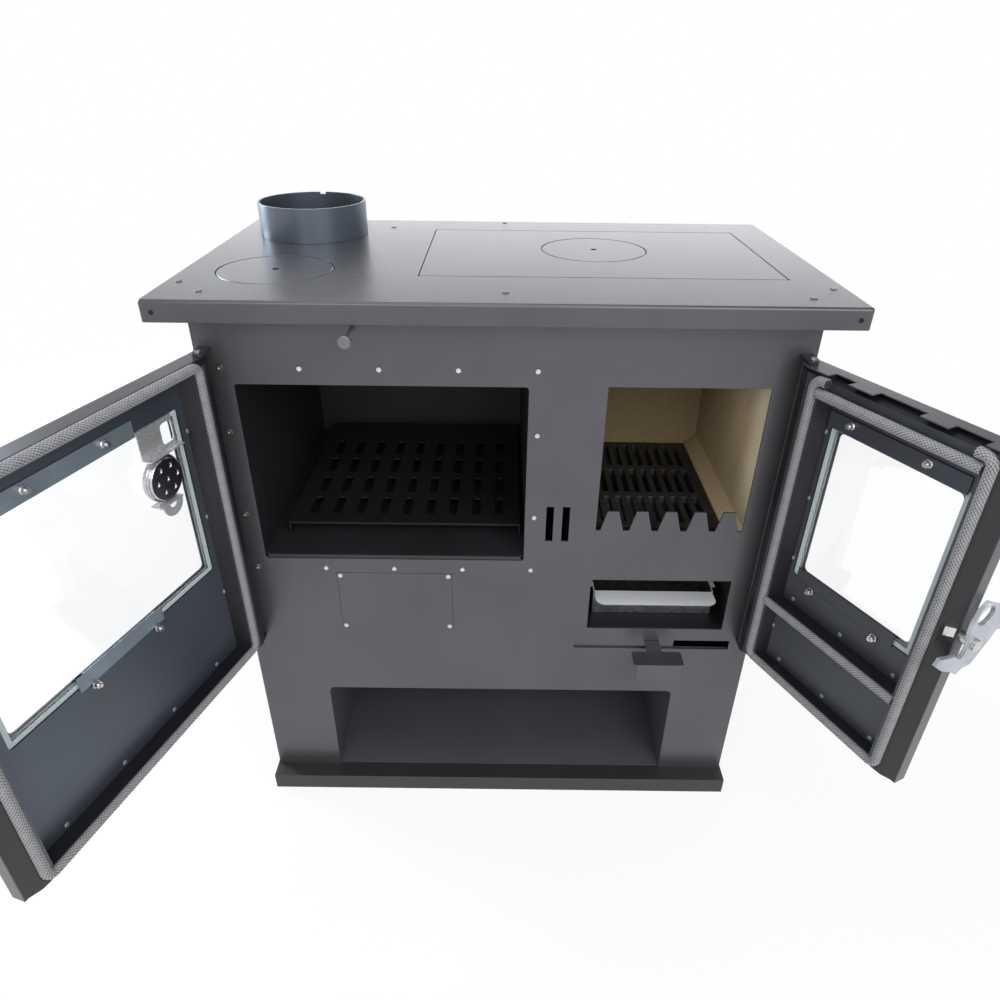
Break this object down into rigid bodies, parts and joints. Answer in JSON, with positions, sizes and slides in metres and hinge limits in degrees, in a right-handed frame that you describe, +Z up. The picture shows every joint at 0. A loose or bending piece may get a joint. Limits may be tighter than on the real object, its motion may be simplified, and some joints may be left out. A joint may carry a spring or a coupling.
{
  "type": "wood cookstove",
  "caption": "Freestanding wood-burning cookstove with a glazed oven door, a firebox door over an ash pan, a round flue collar and lift-out lids.",
  "frame": {"origin": "on the floor under the middle of the body's plan", "axes": "+Z up along the flue collar, -Y towards the front of the stove, +X to the viewer's right"},
  "size_m": [1.1511, 0.832, 0.8335],
  "materials": {
    "body_paint": "satin heat-resistant dark grey metallic paint",
    "inner_paint": "satin bluish dark grey heat-resistant paint",
    "oven_sheet": "matt dark heat-resistant coating",
    "soot_iron": "matt sooty cast iron",
    "hotplate_iron": "machined grey cast iron with a dull sheen",
    "fire_brick": "rough tan vermiculite brick",
    "zinc": "bright zinc plating",
    "galvanised": "galvanised sheet with spangle",
    "bare_steel": "bare steel plate, dull grey",
    "spring_steel": "blued steel strip",
    "knob_grey": "dark grey heat-resistant knob",
    "door_inner_paint": "satin bluish dark grey heat-resistant paint, black on the walls of the recess",
    "collar_paint": "bluish dark metallic paint, satin",
    "fire_inner_paint": "matt dark heat-resistant paint",
    "tray_black": "black baked coating",
    "bright_steel": "bright steel sheet",
    "rope_fibre": "braided grey glass-fibre rope",
    "tape_fibre": "woven white glass-fibre tape",
    "stove_glass": "clear ceramic glass",
    "dial_steel": "dark steel can"
  },
  "bodies": {
    "stove": {"plinth": "inner_paint", "base_panel": "inner_paint", "front_panel": "body_paint", "left_panel": "body_paint", "right_panel": "body_paint", "back_panel": "body_paint", "niche_liner": "oven_sheet", "oven_box": "oven_sheet", "front_rivets": "zinc", "soot_cover": "body_paint", "soot_rivets": "zinc", "hinge_lugs": "inner_paint", "firebox_shell": "soot_iron", "brick_left": "fire_brick", "brick_right": "fire_brick", "brick_back": "fire_brick", "grate": "soot_iron", "ash_box": "soot_iron", "air_rails": "bare_steel", "flue_baffle": "soot_iron", "top_plate": "body_paint", "flue_collar": "collar_paint", "top_rivets": "hotplate_iron"},
    "ash_pan": {"ash_pan": "galvanised"},
    "oven_tray": {"oven_tray": "tray_black"},
    "air_shutter": {"air_shutter": "body_paint"},
    "damper": {"damper_plate": "soot_iron", "damper_rod": "bare_steel", "damper_knob": "knob_grey"},
    "top_insert": {"top_insert": "hotplate_iron"},
    "round_lid": {"round_lid": "hotplate_iron"},
    "side_lid": {"side_lid": "hotplate_iron"},
    "oven_door": {"oven_door_skin": "body_paint", "oven_door_frame": "door_inner_paint", "oven_door_rope": "rope_fibre", "oven_door_glass": "stove_glass", "oven_door_tape": "tape_fibre", "oven_door_clamps": "spring_steel", "oven_door_bolts": "zinc", "oven_door_pins": "bare_steel", "thermometer": "dial_steel", "thermometer_bracket": "bright_steel", "oven_latch_pivot": "zinc"},
    "oven_latch": {"oven_latch_lever": "bare_steel"},
    "fire_door": {"fire_door_skin": "body_paint", "fire_door_frame": "fire_inner_paint", "fire_door_rope": "rope_fibre", "fire_door_cross_rope": "rope_fibre", "fire_door_glass": "stove_glass", "fire_door_tape": "tape_fibre", "fire_door_clamps": "fire_inner_paint", "fire_door_bolts": "zinc", "fire_door_pins": "bare_steel", "fire_latch_pivot": "zinc"},
    "fire_latch": {"fire_latch_lever": "bare_steel"}
  },
  "joints": [
    {"name": "oven_door_hinge", "type": "hinge", "parent": "stove", "child": "oven_door", "pos_m": [-0.3413, -0.2227, 0.513], "axis": [0, 0, -1], "range_deg": [-107.8, 17.2]},
    {"name": "fire_door_hinge", "type": "hinge", "parent": "stove", "child": "fire_door", "pos_m": [0.3413, -0.2227, 0.513], "axis": [0, 0, 1], "range_deg": [-116.2, 8.8]},
    {"name": "oven_latch_turn", "type": "hinge", "parent": "oven_door", "child": "oven_latch", "pos_m": [-0.4726, -0.60517, 0.52], "axis": [-0.3057, -0.9521, 0], "range_deg": [-7, 20]},
    {"name": "fire_latch_turn", "type": "hinge", "parent": "fire_door", "child": "fire_latch", "pos_m": [0.46305, -0.45178, 0.52], "axis": [0.4415, -0.8973, 0], "range_deg": [-7, 20]},
    {"name": "ash_pan_slide", "type": "slide", "parent": "stove", "child": "ash_pan", "axis": [0, -1, 0], "range_m": [0, 0.25]},
    {"name": "oven_tray_slide", "type": "slide", "parent": "stove", "child": "oven_tray", "axis": [0, -1, 0], "range_m": [0, 0.25]},
    {"name": "air_shutter_slide", "type": "slide", "parent": "stove", "child": "air_shutter", "axis": [1, 0, 0], "range_m": [-0.07, 0.07]},
    {"name": "damper_slide", "type": "slide", "parent": "stove", "child": "damper", "axis": [0, -1, 0], "range_m": [0, 0.12]},
    {"name": "top_insert_lift", "type": "slide", "parent": "stove", "child": "top_insert", "axis": [0, 0, 1], "range_m": [0, 0.15]},
    {"name": "round_lid_lift", "type": "slide", "parent": "top_insert", "child": "round_lid", "axis": [0, 0, 1], "range_m": [0, 0.1]},
    {"name": "side_lid_lift", "type": "slide", "parent": "stove", "child": "side_lid", "axis": [0, 0, 1], "range_m": [0, 0.1]}
  ]
}
